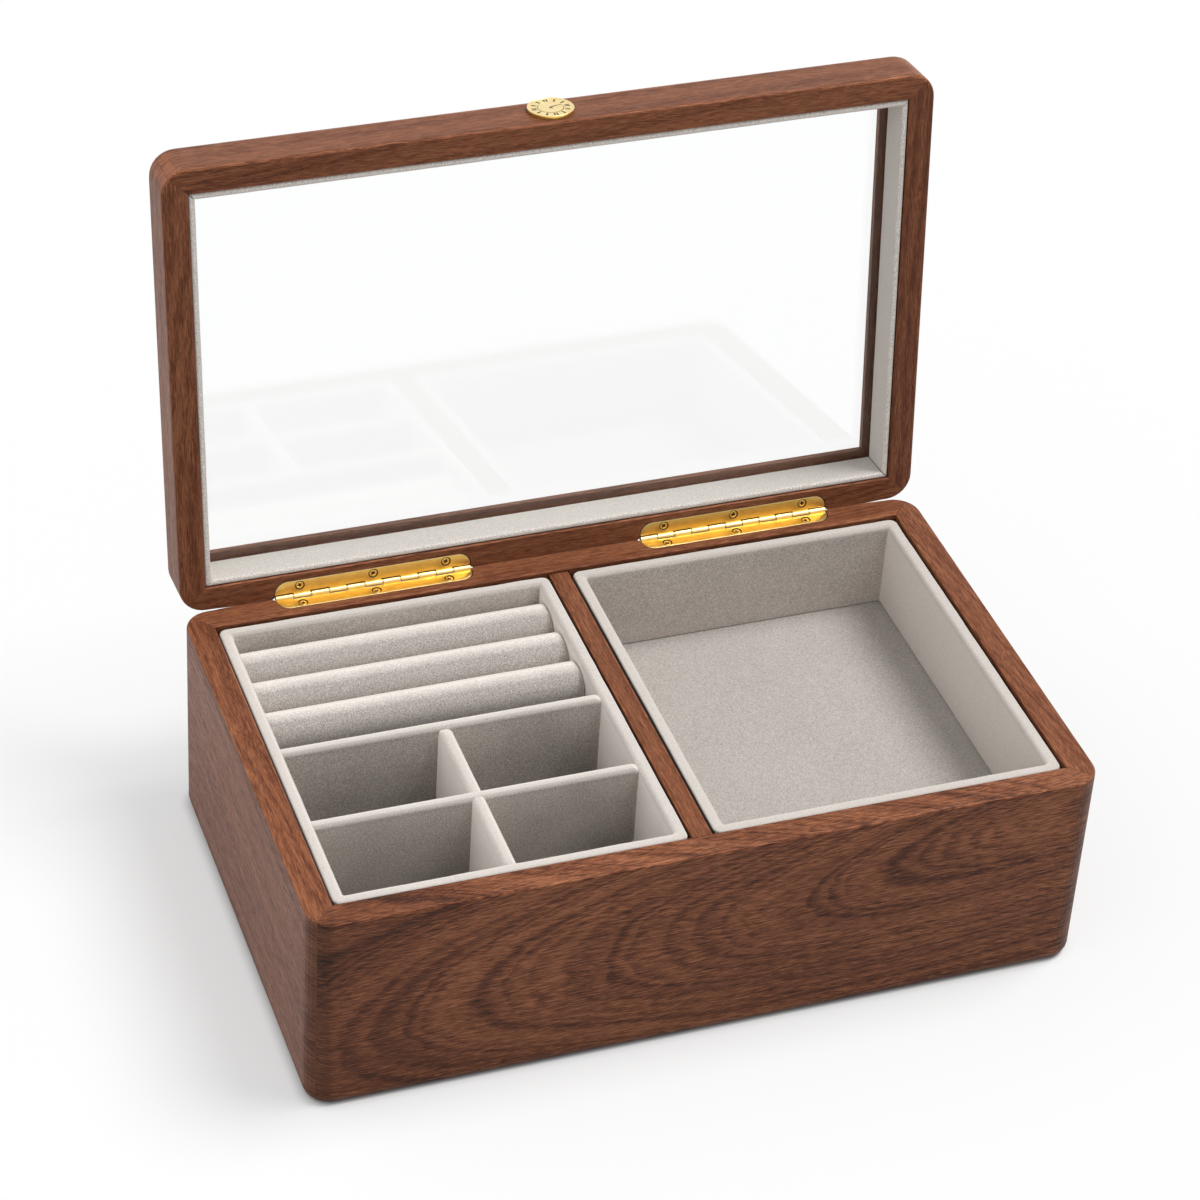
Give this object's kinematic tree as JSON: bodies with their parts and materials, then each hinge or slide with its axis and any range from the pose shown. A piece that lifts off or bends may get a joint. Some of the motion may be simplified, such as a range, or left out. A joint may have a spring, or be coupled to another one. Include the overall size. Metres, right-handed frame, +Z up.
{
  "type": "glass-lid jewelry box",
  "caption": "Walnut jewelry box with a hinged glass lid, over a lined tray of ring rolls and small compartments beside an open lined tray.",
  "frame": {"origin": "middle of the box's underside, which is the felt it stands on", "axes": "+X to the right along the front, the longest side; +Y to the back, where the hinges are; +Z up"},
  "size_m": [0.3, 0.2265, 0.2699],
  "materials": {
    "walnut": "satin oiled walnut, grain along each rail",
    "panel": "plain walnut-faced panel",
    "velvet": "short pale grey velvet over board or foam",
    "felt": "dark brown felt",
    "brass": "polished, lacquered",
    "glass": "clear, polished"
  },
  "bodies": {
    "base": {"back_left_tray_ledge": "walnut", "back_right_tray_ledge": "walnut", "base_back_rail": "walnut", "base_front_rail": "walnut", "base_left_rail": "walnut", "base_right_rail": "walnut", "bottom_panel": "panel", "centre_divider": "walnut", "cross_divider": "velvet", "front_left_tray_ledge": "walnut", "front_right_tray_ledge": "walnut", "left_hinge_base_leaf": "brass", "left_hinge_base_screw_1": "brass", "left_hinge_base_screw_2": "brass", "left_hinge_base_screw_3": "brass", "left_hinge_pin": "brass", "left_tray_back_wall": "velvet", "left_tray_floor": "velvet", "left_tray_front_wall": "velvet", "left_tray_left_wall": "velvet", "left_tray_right_wall": "velvet", "long_divider": "velvet", "lower_left_floor_pad": "velvet", "lower_right_floor_pad": "velvet", "right_hinge_base_leaf": "brass", "right_hinge_base_screw_1": "brass", "right_hinge_base_screw_2": "brass", "right_hinge_base_screw_3": "brass", "right_hinge_pin": "brass", "right_tray_back_wall": "velvet", "right_tray_floor": "velvet", "right_tray_front_wall": "velvet", "right_tray_left_wall": "velvet", "right_tray_right_wall": "velvet", "ring_divider": "velvet", "ring_roll_1": "velvet", "ring_roll_2": "velvet", "ring_roll_3": "velvet", "underside_felt": "felt"},
    "lid": {"left_hinge_lid_leaf": "brass", "left_hinge_lid_screw_1": "brass", "left_hinge_lid_screw_2": "brass", "left_hinge_lid_screw_3": "brass", "lid_back_liner": "velvet", "lid_back_rail": "walnut", "lid_front_liner": "velvet", "lid_front_rail": "walnut", "lid_glass": "glass", "lid_left_liner": "velvet", "lid_left_rail": "walnut", "lid_medallion": "brass", "lid_right_liner": "velvet", "lid_right_rail": "walnut", "right_hinge_lid_leaf": "brass", "right_hinge_lid_screw_1": "brass", "right_hinge_lid_screw_2": "brass", "right_hinge_lid_screw_3": "brass"}
  },
  "joints": [
    {"name": "lid_hinge", "type": "hinge", "parent": "base", "child": "lid", "pos_m": [0, 0.0912, 0.08715], "axis": [1, 0, 0], "range_deg": [0, 97]}
  ]
}
